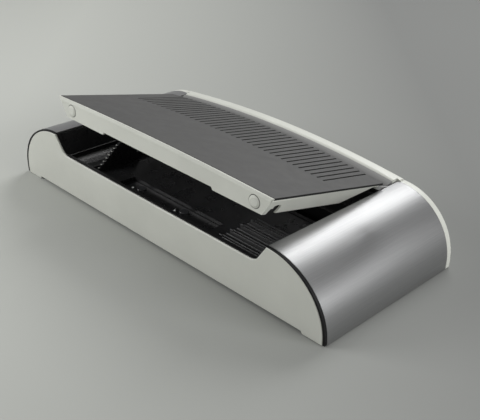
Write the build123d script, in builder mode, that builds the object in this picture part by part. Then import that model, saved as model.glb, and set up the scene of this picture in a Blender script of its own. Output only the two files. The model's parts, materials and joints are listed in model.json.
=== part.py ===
from build123d import *
import os
from math import asin, atan2, cos, degrees, radians, sin, sqrt, tan

# A desktop thermal binding machine, in millimetres. X runs along the machine, +Y points
# to its rear and Z is up. The origin is the middle of the footprint, on the table.
# The lid is drawn shut and then swung to the angle at which it stands.

# ---------------------------------------------------------------- driving dimensions
DEPTH = 240.0
END_RADIUS = 78.0              # quarter round of each end
END_STRAIGHT = 7.8             # table to the start of the quarter rounds
SHOULDER_FLAT = 3.0            # flat top between a quarter round and the well
WELL_RUN = 16.5                # each slanted side of the well leans in by this much
WELL_EDGE_DROP = 26.3          # shoulders to the front panel's top edge in the well
SLOT_LENGTH = 306.0            # binding slot, for the spine of an A4 cover
SLOT_END_SPACE = 15.0          # from an end of the slot to the foot of the well's side
CROWN_RISE = 12.7              # crown strip's middle above the shoulders
REAR_ARCH_RADIUS = 1604.0      # crown seen from behind
FRONT_ARCH_RISE = 2.9          # bow of the lid's front edge
FRONT_OVERHANG = 7.8           # the front panel's top stands this far ahead of its foot
SHEET = 2.2                    # end covers and hinge cover
PANEL = 2.6                    # moulded front and rear panels
BACKING = 0.8                  # bulkhead behind the front panel's pocket
BULKHEAD = 2.4                 # bulkhead along the well
LINER = 2.0                    # well liner
GAP = 0.3                      # between parts that are screwed together
FOOT_HEIGHT = 3.0
FOOT_RADIUS = 8.0
TRAY_FLOOR = 2.5
TRAY_WALL_HEIGHT = 12.0        # table to the rim of the base tray
DECK_DROP = 13.5               # front edge of the well to its floor
CROWN_DEPTH = 17.7             # crown strip from front to rear
HINGE_SETBACK = 17.0           # hinge pins ahead of the rear face
HINGE_DROP = 10.8              # hinge pins below the shoulders
HINGE_COVER_DROP = 0.8         # hinge cover below the crown strip
COVE = 4.5                     # the hinge cover's front dips by this much
LID_OPEN = 13.5                # degrees that the lid stands open
LID_SETBACK = 44.0             # rear edge of the shut lid ahead of the rear face
LID_PANEL = 2.2
LID_GAP = 1.2                  # between the shut lid and the well's slanted sides
LIP_RAKE = 0.24                # the lip leans back by this share of its height
LIP_WALL = 2.4
VENT_COUNT = 36
VENT_PITCH = 9.1
VENT_WIDTH = 2.2
VENT_LENGTH = 83.0
CAP_INSET = 26.8               # round caps on the lip, from the lid's ends
CAP_RADIUS = 7.2
CAP_DROP = 14.3                # caps below the shoulders
CAP_RECESS = 0.8               # depth and border of the recess that a cap sits in
CAP_PROUD = 1.3                # caps' middle above the lip
SLOT_WIDTH = 31.0
SLOT_SETBACK = 60.5            # slot's front edge ahead of the well's rear wall
SLOT_WALL = 1.6
SLOT_FLOOR = 16.0
PLATE_THICKNESS = 4.0          # heating plate
PLATE_EDGE = 3.0               # its raised long edges
RIB_PITCH = 17.0               # tall ribs of the cooling rack
RIB_COUNT = 4
RIB_THICKNESS = 2.0
RIB_HEIGHT = 2.4
RIB_STOP = 4.4                 # height and length of the stop at a tall rib's left end
FINE_HEIGHT = 1.2              # two fine ribs follow each tall one
STORAGE_WIDTH = 38.2
GAUGE_STEPS = 9
GAUGE_RUN = 4.2
GAUGE_RISE = 3.3
GAUGE_THICKNESS = 4.0
BUTTON_RADIUS = 6.0
BUTTON_GAP = 0.25
BUTTON_TRAVEL = 0.8
LENS_RADIUS = 1.6
LENS_OFFSET = 11.0             # a lens stands this far to the left of its button
TROUGH_DROP = 6.0              # floor of the controls below the well's floor
PIN_RADIUS = 3.0
PIN_CLEARANCE = 0.05
ARM_THICKNESS = 2.0            # steel hinge arms
ARM_RADIUS = 6.5

# ---------------------------------------------------------------- derived places
WELL_EDGE_HALF = SLOT_LENGTH / 2 + SLOT_END_SPACE   # half width of the well at its front edge
WELL_TOP_HALF = WELL_EDGE_HALF + WELL_RUN           # and at the shoulders
WELL_SLANT = WELL_RUN / WELL_EDGE_DROP
ARC_X = WELL_TOP_HALF + SHOULDER_FLAT               # centre of the ends' quarter round
ARC_Z = END_STRAIGHT
HALF = ARC_X + END_RADIUS
WIDTH = 2 * HALF
SHOULDER_HEIGHT = END_STRAIGHT + END_RADIUS
CROWN_HEIGHT = SHOULDER_HEIGHT + CROWN_RISE
WELL_EDGE_HEIGHT = SHOULDER_HEIGHT - WELL_EDGE_DROP
DECK_HEIGHT = WELL_EDGE_HEIGHT - DECK_DROP
TROUGH_FLOOR = DECK_HEIGHT - TROUGH_DROP
RAKE = degrees(atan2(FRONT_OVERHANG, SHOULDER_HEIGHT))
FRONT_FOOT_Y = -DEPTH / 2 + FRONT_OVERHANG
REAR_Y = DEPTH / 2
BODY_FRONT = PANEL + BULKHEAD                       # depth of the panel and the bulkhead
COVER_FRONT = PANEL + BACKING + GAP                 # end covers behind the panel's face
RIM_DEPTH = 8.5                                     # rear panel's rim
COVER_REAR = REAR_Y - RIM_DEPTH - GAP
CROWN_FRONT = REAR_Y - CROWN_DEPTH
HINGE_Y = REAR_Y - HINGE_SETBACK
HINGE_Z = SHOULDER_HEIGHT - HINGE_DROP
LID_REAR = REAR_Y - LID_SETBACK
WELL_REAR = LID_REAR - 1.5
HINGE_COVER_FRONT = LID_REAR + 3.0
ARM_OUTER = WELL_TOP_HALF - GAP
ARM_INNER = ARM_OUTER - ARM_THICKNESS
COVER_HALF = ARM_INNER - 0.6                        # hinge cover between the hinge arms
SHELF_Z = SHOULDER_HEIGHT - 11.8
LID_FRONT = -DEPTH / 2 + 0.3
LIP_BOTTOM = WELL_EDGE_HEIGHT + 1.2
SLOT_FRONT = WELL_REAR - SLOT_SETBACK
SLOT_REAR = SLOT_FRONT + SLOT_WIDTH
TRAY_TOP = FOOT_HEIGHT + TRAY_FLOOR
HINGE_AXIS = Axis((0, HINGE_Y, HINGE_Z), (1, 0, 0))


def front_face(z):
    """Y of the front panel's outer face at a height."""
    return FRONT_FOOT_Y - z * tan(radians(RAKE))


def rear_arch(x, apex=CROWN_HEIGHT):
    """Height of the rear arch at a distance from the middle."""
    return apex - REAR_ARCH_RADIUS + sqrt(REAR_ARCH_RADIUS**2 - x**2)


def well_half(z):
    """Half width between the well's slanted sides at a height."""
    return WELL_EDGE_HALF + WELL_SLANT * (z - WELL_EDGE_HEIGHT)


def at_x(x):
    """Sketch plane across the machine: sketch X is world Y, sketch Y is world Z."""
    return Plane(origin=(x, 0, 0), x_dir=(0, 1, 0), z_dir=(1, 0, 0))


def at_y(y):
    """Sketch plane along the machine that faces the front: sketch X, Y are world X, Z."""
    return Plane(origin=(0, y, 0), x_dir=(1, 0, 0), z_dir=(0, -1, 0))


def raked(depth):
    """The front panel's leaning plane, this far behind its outer face."""
    normal = (0, -cos(radians(RAKE)), -sin(radians(RAKE)))
    return Plane(origin=(0, FRONT_FOOT_Y, 0), x_dir=(1, 0, 0), z_dir=normal).offset(-depth)


def outline(points, mode=Mode.ADD):
    """Face bounded by a closed polygon, in the sketch that is open."""
    with BuildLine() as path:
        Polyline(*points, close=True)
    make_face(path.edges(), mode=mode)


def prism(plane, points, amount, mode=Mode.ADD):
    """Polygon drawn on a plane and pulled out of it."""
    with BuildSketch(plane) as face:
        outline(points)
    extrude(face.sketch, amount=amount, mode=mode)


def block(x_range, y_range, z_range, mode=Mode.ADD):
    """Box between two limits on each axis."""
    size = [high - low for low, high in (x_range, y_range, z_range)]
    middle = [(high + low) / 2 for low, high in (x_range, y_range, z_range)]
    with Locations(tuple(middle)):
        Box(*size, mode=mode)


def round_end(side, arc_x, radius, inner_x=0.0, base=1.0):
    """Face under a quarter round of one end, from the middle of the machine outwards."""
    top = (side * arc_x, ARC_Z + radius)
    low = (side * (arc_x + radius), ARC_Z)
    with BuildLine() as path:
        CenterArc((side * arc_x, ARC_Z), radius, 0 if side > 0 else 90, 90)
        Polyline(low, (low[0], base), (side * inner_x, base), (side * inner_x, top[1]), top)
    make_face(path.edges())


def end_profile(side, inset=0.0, inner_x=0.0, base=1.0):
    """Face under the end covers' own outline, drawn in by an inset."""
    round_end(side, ARC_X, END_RADIUS - inset, inner_x, base)


def well_corners(proud):
    """Corners of the well seen from the front, with its lower edge raised by an amount."""
    edge, top = WELL_EDGE_HEIGHT + proud, SHOULDER_HEIGHT + 1
    return [(-well_half(top), top), (-well_half(edge), edge), (well_half(edge), edge),
            (well_half(top), top)]


def upright(spots, radius, z_range, sides=0):
    """Upright pegs on some spots: round, or with a number of sides."""
    with BuildSketch(Plane.XY.offset(z_range[0])) as section:
        with Locations(*spots):
            if sides:
                RegularPolygon(radius, sides)
            else:
                Circle(radius)
    extrude(section.sketch, amount=z_range[1] - z_range[0])


# ---------------------------------------------------------------- base
with BuildPart() as base_tray:
    half_x = HALF - PANEL - GAP
    tray_front = front_face(FOOT_HEIGHT) + BODY_FRONT + 1.2
    tray_rear = REAR_Y - PANEL - GAP
    block((-half_x, half_x), (tray_front, tray_rear), (FOOT_HEIGHT, TRAY_WALL_HEIGHT))
    fillet(base_tray.edges().filter_by(Axis.Z), 2.0)
    wall = 2.0
    block(
        (-half_x + wall, half_x - wall),
        (tray_front + wall, tray_rear - wall),
        (TRAY_TOP, TRAY_WALL_HEIGHT + 1),
        mode=Mode.SUBTRACT,
    )
    # stiffening ribs across the floor
    for rib_x in (-150.0, -75.0, 75.0, 150.0):
        block((rib_x - 1, rib_x + 1), (tray_front + 30, SLOT_FRONT - 9), (TRAY_TOP, TRAY_TOP + 4))
    # air inlets under the heater
    with BuildSketch(Plane.XY.offset(TRAY_TOP)):
        with Locations((0, SLOT_FRONT + SLOT_WIDTH / 2)):
            with GridLocations(12.0, 1.0, 20, 1):
                Rectangle(3.0, 26.0)
    extrude(amount=-TRAY_FLOOR - 1, mode=Mode.SUBTRACT)

FOOT_X = HALF - 40.5
FOOT_SPOTS = [(x, y) for x in (-FOOT_X, FOOT_X) for y in (-REAR_Y + 28, REAR_Y - 23)]
with BuildPart() as rubber_feet:
    upright(FOOT_SPOTS, FOOT_RADIUS, (0, FOOT_HEIGHT))
    chamfer(rubber_feet.edges().group_by(Axis.Z)[0], 0.8)

SCREW_X = HALF - 18.5
SCREW_SPOTS = [(x, y) for x in (-SCREW_X, SCREW_X) for y in (-REAR_Y + 50, REAR_Y - 50)]
with BuildPart() as base_screws:
    upright(SCREW_SPOTS, 3.0, (1.0, FOOT_HEIGHT), sides=6)

# ---------------------------------------------------------------- front
FRONT_HALF = HALF - 3.6        # the black bulkhead shows around the panel
FRONT_RADIUS = END_RADIUS - 1.2
FOOT_ZONE = HALF - 30.5        # the panel's foot reaches down beyond this distance
HOOK_X = WELL_TOP_HALF + 15.5
HOOK_Z = 30.0
WELL_CORNER = 14.0             # radius of the panel at the foot of the well's sides
with BuildPart() as front_panel:
    with BuildSketch(raked(0.0)):
        arc_x = FRONT_HALF - FRONT_RADIUS
        horn_x = WELL_TOP_HALF - arc_x
        horn_z = ARC_Z + sqrt(FRONT_RADIUS**2 - horn_x**2)
        with BuildLine():
            Polyline((FRONT_HALF, ARC_Z), (FRONT_HALF, 0.8), (FOOT_ZONE, 0.8),
                     (FOOT_ZONE - 1.5, 4.0), (0, 4.0))
            CenterArc((arc_x, ARC_Z), FRONT_RADIUS, 0, 90 - degrees(asin(horn_x / FRONT_RADIUS)))
            Polyline((WELL_TOP_HALF, horn_z), (WELL_EDGE_HALF, WELL_EDGE_HEIGHT),
                     (0, WELL_EDGE_HEIGHT), (0, 4.0))
        make_face()
        mirror(about=Plane.YZ)
    extrude(amount=-PANEL)
    short_edges = front_panel.edges().filter_by(lambda e: e.length < PANEL * 1.01)
    fillet(short_edges.filter_by(lambda e: abs(abs(e.center().X) - WELL_EDGE_HALF) < 1), WELL_CORNER)
    fillet(short_edges.filter_by(lambda e: abs(abs(e.center().X) - WELL_TOP_HALF) < 0.3), 1.0)
    outer_face = front_panel.faces().sort_by(Axis.Y)[0]
    chamfer(outer_face.outer_wire().edges(), 0.6)
    # hooks that reach behind the bulkhead
    hook_y = front_face(HOOK_Z) + PANEL
    for hook_x in (-HOOK_X, HOOK_X):
        block((hook_x - 6, hook_x + 6), (hook_y - 1, hook_y + BULKHEAD + 2.2),
              (HOOK_Z - 1.5, HOOK_Z + 1.5))

RIM_FACE = 0.4                 # bulkhead's rim behind the panel's face
RIM_INSET = 0.4                # and inside the end covers' outline
POCKET_GAP = 0.15              # around the panel
EDGE_PROUD = 0.5               # bulkhead above the panel along the well
RIM_ROUND = 0.9                # its rounded edges there
with BuildPart() as front_bulkhead:
    with BuildSketch(raked(RIM_FACE)):
        for side in (-1, 1):
            end_profile(side, RIM_INSET, base=1.2)
        outline(well_corners(EDGE_PROUD), mode=Mode.SUBTRACT)
    extrude(amount=-(PANEL + BACKING - RIM_FACE))
    # the part that reaches inside the end covers
    with BuildSketch(raked(PANEL + BACKING)):
        for side in (-1, 1):
            end_profile(side, SHEET + GAP, base=4.5)
        outline(well_corners(EDGE_PROUD), mode=Mode.SUBTRACT)
    extrude(amount=-(BULKHEAD - BACKING))
    # pocket for the panel, and holes for its hooks
    with BuildSketch(raked(0.0)):
        for side in (-1, 1):
            round_end(side, FRONT_HALF - FRONT_RADIUS, FRONT_RADIUS + POCKET_GAP, base=-1)
    extrude(amount=-PANEL, mode=Mode.SUBTRACT)
    with BuildSketch(raked(0.0)):
        with Locations((-HOOK_X, HOOK_Z), (HOOK_X, HOOK_Z)):
            Rectangle(12.6, 4.0)
    extrude(amount=-BODY_FRONT - 1, mode=Mode.SUBTRACT)
    well_rim = front_bulkhead.edges().filter_by(
        lambda e: e.length > SLOT_LENGTH and e.center().Z > DECK_HEIGHT)
    fillet(well_rim, RIM_ROUND)

# ---------------------------------------------------------------- ends
COVER_EDGE = WELL_TOP_HALF + 0.5
RIB_DEPTH = 6.0
FOOT_TURN = 26.0               # width of the foot that is turned in under the tray
FOOT_TOP = FOOT_HEIGHT - GAP


def end_hollow(side):
    """Inside of an end cover: leaves the sheet and the turned-in foot."""
    radius = END_RADIUS - SHEET
    far, near = side * (ARC_X + radius), side * (COVER_EDGE - 1)
    with BuildLine() as path:
        CenterArc((side * ARC_X, ARC_Z), radius, 0 if side > 0 else 90, 90)
        Polyline((far, ARC_Z), (far, FOOT_TOP), (side * (HALF - FOOT_TURN), FOOT_TOP),
                 (side * (HALF - FOOT_TURN), 0), (near, 0), (near, ARC_Z + radius),
                 (side * ARC_X, ARC_Z + radius))
    make_face(path.edges(), mode=Mode.SUBTRACT)


def end_rib(side):
    """Crescent rib inside the round of an end cover."""
    outer = END_RADIUS - SHEET + 0.2
    inner = outer - RIB_DEPTH
    first = 22 if side > 0 else 98
    with BuildLine() as path:
        CenterArc((side * ARC_X, ARC_Z), outer, first, 60)
        CenterArc((side * ARC_X, ARC_Z), inner, first, 60)
        for turn in (radians(first), radians(first + 60)):
            Line((side * ARC_X + outer * cos(turn), ARC_Z + outer * sin(turn)),
                 (side * ARC_X + inner * cos(turn), ARC_Z + inner * sin(turn)))
    make_face(path.edges())


def end_cover_shell(side):
    """Sheet of one end cover with its turned-in foot, ribs and leaning front edge."""
    with BuildSketch(at_y(COVER_REAR)) as section:
        end_profile(side, 0.0, COVER_EDGE)
        end_hollow(side)
    extrude(section.sketch, amount=COVER_REAR + REAR_Y + 10)
    for rib_y in (-REAR_Y / 2, 0.0, REAR_Y / 2):
        with BuildSketch(at_y(rib_y + 1)) as rib:
            end_rib(side)
        extrude(rib.sketch, amount=2.0)
    split(bisect_by=raked(COVER_FRONT), keep=Keep.BOTTOM)


with BuildPart() as left_end_cover:
    end_cover_shell(-1)
    with Locations(*[(x, y, 0) for x, y in SCREW_SPOTS if x < 0]):
        Cylinder(3.3, 8.0, mode=Mode.SUBTRACT)

with BuildPart() as right_end_cover:
    end_cover_shell(1)
    with Locations(*[(x, y, 0) for x, y in SCREW_SPOTS if x > 0]):
        Cylinder(3.3, 8.0, mode=Mode.SUBTRACT)

# ---------------------------------------------------------------- rear
CROWN_HALF = ARC_X - 0.5
REAR_PANEL_TOP = SHOULDER_HEIGHT - 6.0   # rear panel's top edge under the crown strip
INLET_X = -HALF + 53.5
SWITCH_X = INLET_X + 52.0
SOCKET_Z = 34.0
INLET_SIZE = (28.0, 21.0)
SWITCH_SIZE = (19.0, 13.0)
BEZEL = 1.5                    # sockets' bezels lie flush in the panel
BEZEL_BORDER = 2.0
with BuildPart() as rear_panel:
    with BuildSketch(at_y(REAR_Y)):
        end_profile(1)
        end_profile(-1)
        with Locations((0, REAR_PANEL_TOP)):
            Rectangle(2 * CROWN_HALF + 0.6, CROWN_RISE * 2, align=(Align.CENTER, Align.MIN),
                      mode=Mode.SUBTRACT)
    extrude(amount=RIM_DEPTH)
    rear_face = rear_panel.faces().sort_by(Axis.Y)[-1]
    fillet(rear_face.outer_wire().edges().filter_by(lambda e: e.center().Z > 4), 1.2)
    # hollow behind the rim
    with BuildSketch(at_y(REAR_Y - PANEL)):
        end_profile(1, PANEL, base=-1)
        end_profile(-1, PANEL, base=-1)
        with Locations((0, REAR_PANEL_TOP - PANEL)):
            Rectangle(2 * (CROWN_HALF + GAP + PANEL), CROWN_RISE * 2,
                      align=(Align.CENTER, Align.MIN), mode=Mode.SUBTRACT)
    extrude(amount=RIM_DEPTH, mode=Mode.SUBTRACT)
    # seats for the bezels of the inlet and the switch
    with BuildSketch(at_y(REAR_Y)):
        for seat_x, size in ((INLET_X, INLET_SIZE), (SWITCH_X, SWITCH_SIZE)):
            with Locations((seat_x, SOCKET_Z)):
                Rectangle(size[0] + 2 * BEZEL_BORDER + GAP, size[1] + 2 * BEZEL_BORDER + GAP)
    extrude(amount=BEZEL, mode=Mode.SUBTRACT)
    # openings for the inlet and the switch
    with BuildSketch(at_y(REAR_Y + 1)):
        with Locations((INLET_X, SOCKET_Z)):
            Rectangle(*INLET_SIZE)
        with Locations((SWITCH_X, SOCKET_Z)):
            Rectangle(*SWITCH_SIZE)
        # louvres behind the heater
        with Locations((20.0, 34.0)):
            with GridLocations(7.0, 1.0, 24, 1):
                Rectangle(2.8, 26.0)
    extrude(amount=PANEL + 2, mode=Mode.SUBTRACT)


def arch_face(half, apex, base):
    """Face under the rear arch between two vertical ends."""
    end_z = rear_arch(half, apex)
    with BuildLine() as path:
        ThreePointArc((-half, end_z), (0, apex), (half, end_z))
        Polyline((half, end_z), (half, base), (-half, base), (-half, end_z))
    make_face(path.edges())


CROWN_BASE = REAR_PANEL_TOP + GAP
with BuildPart() as rear_crown:
    with BuildSketch(at_y(REAR_Y)):
        arch_face(CROWN_HALF - 0.5, CROWN_HEIGHT, CROWN_BASE)
    extrude(amount=RIM_DEPTH)
    with BuildSketch(at_y(REAR_Y)):
        arch_face(COVER_HALF, CROWN_HEIGHT, CROWN_BASE)
    extrude(amount=REAR_Y - CROWN_FRONT)
    top_edges = rear_crown.edges().filter_by(lambda e: e.length > 200 and e.center().Z > SHOULDER_HEIGHT)
    fillet(top_edges.sort_by(Axis.Y)[-1], 3.5)
    top_edges = rear_crown.edges().filter_by(lambda e: e.length > 200 and e.center().Z > SHOULDER_HEIGHT)
    fillet(top_edges.sort_by(Axis.Y)[0], 4.5)
    with BuildSketch(at_y(REAR_Y - PANEL)):
        arch_face(COVER_HALF - SHEET, CROWN_HEIGHT - SHEET - 1, CROWN_BASE - 1)
    extrude(amount=REAR_Y - PANEL - CROWN_FRONT - SHEET, mode=Mode.SUBTRACT)

COVE_STEPS = 5


def cove_apex(y):
    """Height of the hinge cover's middle: flat at its front, steeper towards the crown."""
    share = (y - HINGE_COVER_FRONT) / (CROWN_FRONT - HINGE_COVER_FRONT)
    return CROWN_HEIGHT - HINGE_COVER_DROP - COVE * (1 - share**2)


def cove_stations(y_front, y_rear):
    return [y_front + (y_rear - y_front) * step / COVE_STEPS for step in range(COVE_STEPS + 1)]


def cove_body(half, lowered, base, stations, mode=Mode.ADD):
    """Body under the hinge cover's hollow curve, through slices of the arch."""
    slices = []
    for y in stations:
        with BuildSketch(at_y(y)) as section:
            arch_face(half, cove_apex(y) - lowered, base)
        slices.append(section.sketch.face())
    loft(slices, ruled=True, mode=mode)


with BuildPart() as hinge_cover:
    cover_base = SHELF_Z + GAP
    cover_rear = CROWN_FRONT - GAP
    cove_body(COVER_HALF, 0.0, cover_base, cove_stations(HINGE_COVER_FRONT, cover_rear))
    cove_body(COVER_HALF - SHEET, SHEET, cover_base - 1,
              cove_stations(HINGE_COVER_FRONT + SHEET, CROWN_FRONT), mode=Mode.SUBTRACT)
    # ribs that stand on the liner's shelf
    for rib_x in (-120.0, -40.0, 40.0, 120.0):
        tops = [(y, rear_arch(rib_x, cove_apex(y)) - 1)
                for y in cove_stations(HINGE_COVER_FRONT + 1, cover_rear)]
        prism(at_x(rib_x - 1), [(tops[0][0], cover_base)] + tops + [(cover_rear, cover_base)], 2.0)

# ---------------------------------------------------------------- well
POCKET_FRONT = LID_REAR - 32.0  # room for the hinge arms
POCKET_FLOOR = SHOULDER_HEIGHT - 23.8
POCKET_SIDE = ARM_OUTER + 0.6
FLANGE = 2.0
WELL_FRONT = front_face(WELL_EDGE_HEIGHT) + BODY_FRONT + GAP + 2.3
STORAGE_RIGHT = -WELL_EDGE_HALF + GAP + STORAGE_WIDTH
GAUGE_LEFT = STORAGE_RIGHT + GAP
RACK_LEFT = WELL_EDGE_HALF - 76.0
BUTTON_XS = (GAUGE_LEFT + 69.2, RACK_LEFT - 74.0)
BUTTON_Y = WELL_FRONT + 30.0
LENS_SPOTS = [(x - LENS_OFFSET, BUTTON_Y - 5.0) for x in BUTTON_XS]
TROUGH = (BUTTON_XS[0] - 26.0, RACK_LEFT - 18.0, BUTTON_Y + 10.0)  # X limits and rear edge
RIM_Z = SHOULDER_HEIGHT - SHEET - 0.2   # liner's flange under the end covers
with BuildPart() as well_liner:
    low = DECK_HEIGHT - LINER
    outer_top = well_half(RIM_Z - FLANGE) + LINER * 1.2
    reach = ARC_X + 4.0
    with BuildSketch(at_y(WELL_REAR + LINER)):
        outline([(-reach, RIM_Z), (-reach, RIM_Z - FLANGE), (-outer_top, RIM_Z - FLANGE),
                 (-WELL_EDGE_HALF - LINER, WELL_EDGE_HEIGHT - 1), (-WELL_EDGE_HALF - LINER, low),
                 (WELL_EDGE_HALF + LINER, low), (WELL_EDGE_HALF + LINER, WELL_EDGE_HEIGHT - 1),
                 (outer_top, RIM_Z - FLANGE), (reach, RIM_Z - FLANGE), (reach, RIM_Z)])
    extrude(amount=WELL_REAR + LINER + REAR_Y)
    # lowered part for the controls
    block((TROUGH[0] - LINER, TROUGH[1] + LINER), (-REAR_Y, TROUGH[2] + LINER),
          (TROUGH_FLOOR - LINER, low + 1))
    # outside of the arms' pockets and the shelf under the hinge cover
    for side in (-1, 1):
        xs = sorted((side * (WELL_EDGE_HALF - 1), side * (POCKET_SIDE + LINER)))
        block(xs, (POCKET_FRONT - LINER, WELL_REAR + LINER), (POCKET_FLOOR - LINER, RIM_Z))
    block((-COVER_HALF, COVER_HALF), (WELL_REAR, COVER_REAR - 1.2), (SHELF_Z - 2.4, SHELF_Z))
    split(bisect_by=raked(BODY_FRONT + GAP), keep=Keep.BOTTOM)
    # the well itself
    with BuildSketch(at_y(WELL_REAR)):
        outline([(-well_half(RIM_Z + 1), RIM_Z + 1), (-WELL_EDGE_HALF, WELL_EDGE_HEIGHT),
                 (-WELL_EDGE_HALF, DECK_HEIGHT), (WELL_EDGE_HALF, DECK_HEIGHT),
                 (WELL_EDGE_HALF, WELL_EDGE_HEIGHT), (well_half(RIM_Z + 1), RIM_Z + 1)])
    extrude(amount=WELL_REAR - WELL_FRONT, mode=Mode.SUBTRACT)
    block((TROUGH[0], TROUGH[1]), (WELL_FRONT, TROUGH[2]), (TROUGH_FLOOR, DECK_HEIGHT + 1),
          mode=Mode.SUBTRACT)
    for side in (-1, 1):
        xs = sorted((side * (WELL_EDGE_HALF - 1), side * POCKET_SIDE))
        block(xs, (POCKET_FRONT, WELL_REAR), (POCKET_FLOOR, RIM_Z + 1), mode=Mode.SUBTRACT)
        xs = sorted((side * COVER_HALF, side * POCKET_SIDE))
        block(xs, (WELL_REAR - 1, WELL_REAR + LINER + 1), (POCKET_FLOOR + 2, RIM_Z + 1),
              mode=Mode.SUBTRACT)
    # above the front edge and the rear wall
    block((-well_half(RIM_Z), well_half(RIM_Z)), (WELL_REAR - 1, WELL_REAR + LINER),
          (SHELF_Z + 4.0, RIM_Z + 1), mode=Mode.SUBTRACT)
    with BuildSketch(at_y(WELL_FRONT)):
        outline([(-WELL_TOP_HALF - 1, SHOULDER_HEIGHT), (-WELL_EDGE_HALF, WELL_EDGE_HEIGHT),
                 (WELL_EDGE_HALF, WELL_EDGE_HEIGHT), (WELL_TOP_HALF + 1, SHOULDER_HEIGHT)])
    extrude(amount=10.0, mode=Mode.SUBTRACT)
    # openings for the binding slot and the controls
    block((-SLOT_LENGTH / 2 - SLOT_WALL, SLOT_LENGTH / 2 + SLOT_WALL),
          (SLOT_FRONT - SLOT_WALL, SLOT_REAR + SLOT_WALL), (low - 1, DECK_HEIGHT + 1),
          mode=Mode.SUBTRACT)
    with Locations(*[(x, BUTTON_Y, TROUGH_FLOOR - 1) for x in BUTTON_XS]):
        Cylinder(BUTTON_RADIUS + BUTTON_GAP, 4.0, mode=Mode.SUBTRACT)
    with Locations(*[(x, y, TROUGH_FLOOR - 1) for x, y in LENS_SPOTS]):
        Cylinder(LENS_RADIUS, 4.0, mode=Mode.SUBTRACT)

STORAGE_REAR = SLOT_FRONT - SLOT_WALL - 4.5
with BuildPart() as storage_tray:
    left = -WELL_EDGE_HALF + GAP
    bead = left + 2.4          # raised bead along the foot of the well's side
    bead_round = WELL_EDGE_HEIGHT - 1.4
    tray_rim = DECK_HEIGHT + 8.0
    right_rim = tray_rim - 1.0
    with BuildSketch(at_y(STORAGE_REAR)):
        with BuildLine():
            Line((left, DECK_HEIGHT), (left, bead_round))
            ThreePointArc((left, bead_round), ((left + bead) / 2, bead_round + 1.2), (bead, bead_round))
            Line((bead, bead_round), (bead, tray_rim))
            ThreePointArc((bead, tray_rim), ((left + STORAGE_RIGHT) / 2, DECK_HEIGHT + 3.0),
                          (STORAGE_RIGHT - 2, right_rim))
            Polyline((STORAGE_RIGHT - 2, right_rim), (STORAGE_RIGHT, right_rim),
                     (STORAGE_RIGHT, DECK_HEIGHT), (left, DECK_HEIGHT))
        make_face()
    extrude(amount=STORAGE_REAR - WELL_FRONT - GAP)

GAUGE_START = WELL_FRONT + 9.0
NOTCH = 0.8                    # each step ends in a small notch
with BuildPart() as measuring_gauge:
    stairs = [(GAUGE_START, DECK_HEIGHT)]
    first_top = DECK_HEIGHT + 1.5
    for step in range(GAUGE_STEPS):
        front, top = GAUGE_START + step * GAUGE_RUN, first_top + step * GAUGE_RISE
        rear = front + GAUGE_RUN
        stairs += [(front, top), (rear - NOTCH, top), (rear - NOTCH, top - NOTCH), (rear, top - NOTCH)]
    crest = first_top + GAUGE_STEPS * GAUGE_RISE - 1.0
    gauge_end = rear + 33.2
    stairs += [(rear, crest), (rear + 10, crest), (gauge_end, DECK_HEIGHT + 6),
               (gauge_end, DECK_HEIGHT)]
    with BuildSketch(at_x(GAUGE_LEFT)):
        outline(stairs)
    extrude(amount=GAUGE_THICKNESS)

RACK_RIGHT = WELL_EDGE_HALF - 3.0
RACK_FRONT = WELL_FRONT + 3.5
RACK_FIRST = RACK_FRONT + 11.0  # first tall rib
RACK_BASE = 1.6


def rack_rib(y, height, x_range):
    """Rib across the cooling rack, standing on its base."""
    block(x_range, (y - RIB_THICKNESS / 2, y + RIB_THICKNESS / 2),
          (DECK_HEIGHT + 1, DECK_HEIGHT + RACK_BASE + height))


with BuildPart() as cooling_rack:
    rib_xs = (RACK_LEFT + 2, RACK_RIGHT - 2)
    block((RACK_LEFT, RACK_RIGHT), (RACK_FRONT, RACK_FIRST + RIB_COUNT * RIB_PITCH),
          (DECK_HEIGHT, DECK_HEIGHT + RACK_BASE))
    for place in range(-1, 3 * RIB_COUNT):
        tall = place % 3 == 0
        rack_rib(RACK_FIRST + place * RIB_PITCH / 3, RIB_HEIGHT if tall else FINE_HEIGHT, rib_xs)
        if tall:
            rack_rib(RACK_FIRST + place * RIB_PITCH / 3, RIB_STOP, (rib_xs[0], rib_xs[0] + RIB_STOP))
    chamfer(cooling_rack.edges().filter_by(Axis.X).filter_by(
        lambda e: e.center().Z > DECK_HEIGHT + RACK_BASE + 0.1), 0.5)

with BuildPart() as slot_channel:
    xs = (-SLOT_LENGTH / 2 - SLOT_WALL + GAP, SLOT_LENGTH / 2 + SLOT_WALL - GAP)
    ys = (SLOT_FRONT - SLOT_WALL + GAP, SLOT_REAR + SLOT_WALL - GAP)
    block(xs, ys, (SLOT_FLOOR - 4, DECK_HEIGHT + 1))
    block((xs[0] - 4, xs[1] + 4), (ys[0] - 4, ys[1] + 4), (DECK_HEIGHT, DECK_HEIGHT + 1.5))
    chamfer(slot_channel.edges().filter_by(Axis.Z).filter_by(lambda e: e.center().Z > DECK_HEIGHT), 2)
    block((-SLOT_LENGTH / 2, SLOT_LENGTH / 2), (SLOT_FRONT, SLOT_REAR),
          (SLOT_FLOOR - 5, DECK_HEIGHT + 2), mode=Mode.SUBTRACT)
    # guide ribs down the front wall
    for rib in range(9):
        rib_x = -SLOT_LENGTH / 2 + SLOT_LENGTH * (rib + 1) / 10
        block((rib_x - 1, rib_x + 1), (SLOT_FRONT - 0.2, SLOT_FRONT + 1.2),
              (SLOT_FLOOR + PLATE_EDGE + 1, DECK_HEIGHT - 2))

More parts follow.
